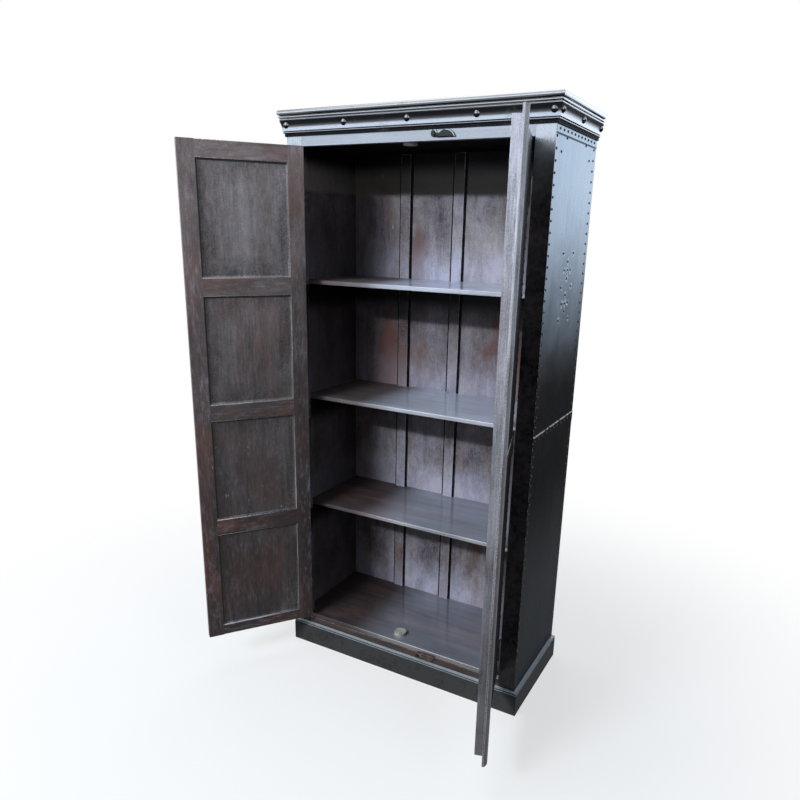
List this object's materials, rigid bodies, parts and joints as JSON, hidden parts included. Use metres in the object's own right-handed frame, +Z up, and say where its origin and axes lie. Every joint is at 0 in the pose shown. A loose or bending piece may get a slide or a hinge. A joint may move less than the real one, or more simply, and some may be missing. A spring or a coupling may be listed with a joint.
{
  "type": "cupboard",
  "caption": "Tall iron-clad wooden cupboard with hinged panelled doors, fixed shelves, turn-button catches, a moulded cornice and a low plinth.",
  "frame": {"origin": "on the floor under the front plinth board, in the middle of the carcass's front face", "axes": "+Z up, +X to the right seen from the front, +Y from the front face to the back"},
  "size_m": [1.1158, 0.7944, 1.9],
  "materials": {
    "dark_wood": "dark brown stain under worn wax, open grain",
    "black_moulding": "black lacquer, glossy, worn thin on edges",
    "plinth_wood": "black lacquer gone dull, scuffed",
    "black_iron": "black lacquered iron sheet, glossy",
    "nail_iron": "black lacquered domed heads, worn bright at the crown",
    "hinge_iron": "dark iron, dull",
    "button_iron": "dark iron, satin",
    "rusty_iron": "rusted iron",
    "stop_rubber": "pale, dusty"
  },
  "bodies": {
    "carcass": {"back_battens": "dark_wood", "back_boards": "dark_wood", "band_sheets": "black_iron", "bottom_rail": "plinth_wood", "ceiling_board": "dark_wood", "cornice_studs": "nail_iron", "cove_front": "black_moulding", "cove_left": "black_moulding", "cove_right": "black_moulding", "crown_front": "black_moulding", "crown_left": "black_moulding", "crown_right": "black_moulding", "door_stops": "stop_rubber", "floor_board": "dark_wood", "frieze_rail": "dark_wood", "frieze_sheet": "black_iron", "front_stile_left": "dark_wood", "front_stile_right": "dark_wood", "hinge_frame_leaves": "hinge_iron", "hinge_pins": "hinge_iron", "lower_sheet_left": "black_iron", "lower_sheet_right": "black_iron", "plinth_front": "plinth_wood", "plinth_left": "plinth_wood", "plinth_right": "plinth_wood", "shelf_lower": "dark_wood", "shelf_middle": "dark_wood", "shelf_upper": "dark_wood", "side_board_left": "dark_wood", "side_board_right": "dark_wood", "side_nails_left": "nail_iron", "side_nails_right": "nail_iron", "stile_sheet_left": "black_iron", "stile_sheet_right": "black_iron", "top_board": "black_moulding", "turn_button_pivots": "hinge_iron", "upper_sheet_left": "black_iron", "upper_sheet_right": "black_iron"},
    "left_door": {"left_door_bottom_rail": "dark_wood", "left_door_hinge_leaves": "hinge_iron", "left_door_hinge_stile": "dark_wood", "left_door_meeting_stile": "dark_wood", "left_door_middle_rails": "dark_wood", "left_door_nails": "nail_iron", "left_door_panels": "dark_wood", "left_door_sheets": "black_iron", "left_door_top_rail": "dark_wood"},
    "right_door": {"closing_strip": "dark_wood", "right_door_bottom_rail": "dark_wood", "right_door_hinge_leaves": "hinge_iron", "right_door_hinge_stile": "dark_wood", "right_door_meeting_stile": "dark_wood", "right_door_middle_rails": "dark_wood", "right_door_nails": "nail_iron", "right_door_panels": "dark_wood", "right_door_sheets": "black_iron", "right_door_top_rail": "dark_wood"},
    "upper_button": {"upper_turn_button": "button_iron"},
    "lower_button": {"lower_turn_button": "rusty_iron"}
  },
  "joints": [
    {"name": "left_door_hinge", "type": "hinge", "parent": "carcass", "child": "left_door", "pos_m": [-0.3865, -0.0045, 0.96], "axis": [0, 0, -1], "range_deg": [-126, 49]},
    {"name": "right_door_hinge", "type": "hinge", "parent": "carcass", "child": "right_door", "pos_m": [0.3865, -0.0045, 0.96], "axis": [0, 0, 1], "range_deg": [-106.5, 68.5]},
    {"name": "upper_button_turn", "type": "hinge", "parent": "carcass", "child": "upper_button", "pos_m": [0.086, -0.004, 1.811], "axis": [0, 1, 0], "range_deg": [0, 90]},
    {"name": "lower_button_turn", "type": "hinge", "parent": "carcass", "child": "lower_button", "pos_m": [0.082, -0.004, 0.1], "axis": [0, -1, 0], "range_deg": [0, 90]}
  ]
}
